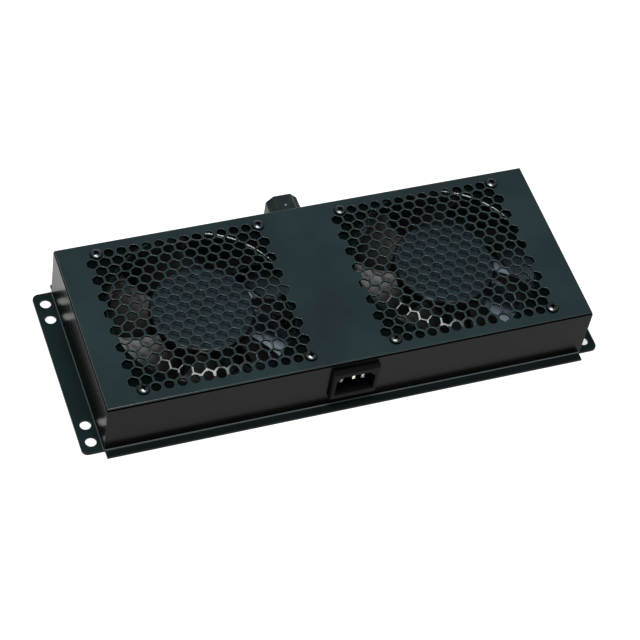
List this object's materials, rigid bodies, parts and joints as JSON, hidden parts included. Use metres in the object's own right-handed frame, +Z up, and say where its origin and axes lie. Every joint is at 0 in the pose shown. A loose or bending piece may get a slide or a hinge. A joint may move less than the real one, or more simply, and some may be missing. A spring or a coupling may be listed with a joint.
{
  "type": "rack fan unit",
  "caption": "Flanged steel fan box for a rack cabinet, with axial fans under raised honeycomb grilles, a mains inlet and a control knob.",
  "frame": {"origin": "centre of the mounting face, the plane of the flanges' underside", "axes": "+X along the unit towards the viewer's right, +Y to the rear wall with the knob, +Z up through the grilles"},
  "size_m": [0.34, 0.1517, 0.0455],
  "materials": {
    "top_panel": "satin fine-texture powder coat",
    "wall_frame": "semi-gloss powder coat",
    "fan_frame": "black painted die casting",
    "impeller": "moulded glass-filled plastic",
    "rotor_steel": "turned steel",
    "shaft_steel": "ground steel",
    "bearing_steel": "polished bearing steel",
    "stator_steel": "stacked laminations",
    "coil": "varnished copper winding",
    "clip_steel": "blackened spring steel",
    "screw": "bright dark-chromed screw",
    "zinc_nut": "zinc-plated steel",
    "inlet_plastic": "black moulded thermoplastic",
    "pin_brass": "nickel-plated brass",
    "tab_brass": "tinned brass",
    "thermostat_plastic": "black phenolic moulding",
    "knob_plastic": "matt black moulding",
    "pointer_paint": "pale paint filling",
    "lead_live": "brown PVC insulation",
    "lead_neutral": "blue PVC insulation",
    "lead_earth": "green and yellow PVC insulation"
  },
  "bodies": {
    "root": {"top_panel": "top_panel", "wall_frame": "wall_frame", "fan_frame_left": "fan_frame", "fan_frame_right": "fan_frame", "motor_bracket_left": "fan_frame", "motor_bracket_right": "fan_frame", "bearings_left": "bearing_steel", "bearings_right": "bearing_steel", "stator_left": "stator_steel", "stator_right": "stator_steel", "coils_left": "coil", "coils_right": "coil", "fan_screws": "screw", "fan_nuts": "zinc_nut", "earth_nut": "zinc_nut", "earth_stud": "zinc_nut", "bush_nut": "zinc_nut", "mains_inlet": "inlet_plastic", "live_pin": "pin_brass", "neutral_pin": "pin_brass", "earth_pin": "pin_brass", "fan_tabs_left": "tab_brass", "fan_tabs_right": "tab_brass", "thermostat_tabs": "tab_brass", "earth_ring": "tab_brass", "thermostat": "thermostat_plastic", "lead_live": "lead_live", "lead_switched_left": "lead_live", "lead_switched_right": "lead_live", "lead_neutral_left": "lead_neutral", "lead_neutral_right": "lead_neutral", "lead_earth": "lead_earth"},
    "impeller_left_body": {"impeller_left": "impeller", "rotor_ring_left": "rotor_steel", "fan_shaft_left": "shaft_steel", "shaft_clip_left": "clip_steel"},
    "impeller_right_body": {"impeller_right": "impeller", "rotor_ring_right": "rotor_steel", "fan_shaft_right": "shaft_steel", "shaft_clip_right": "clip_steel"},
    "knob_body": {"knob": "knob_plastic", "knob_pointer": "pointer_paint", "knob_spindle": "shaft_steel"}
  },
  "joints": [
    {"name": "fan_spin_left", "type": "hinge", "parent": "root", "child": "impeller_left_body", "pos_m": [-0.08, 0, 0.0225], "axis": [0, 0, 1], "continuous": true},
    {"name": "fan_spin_right", "type": "hinge", "parent": "root", "child": "impeller_right_body", "pos_m": [0.08, 0, 0.0225], "axis": [0, 0, 1], "continuous": true},
    {"name": "knob_turn", "type": "hinge", "parent": "root", "child": "knob_body", "pos_m": [0, 0.07, 0.02], "axis": [0, 1, 0], "range_deg": [-135, 135]}
  ]
}
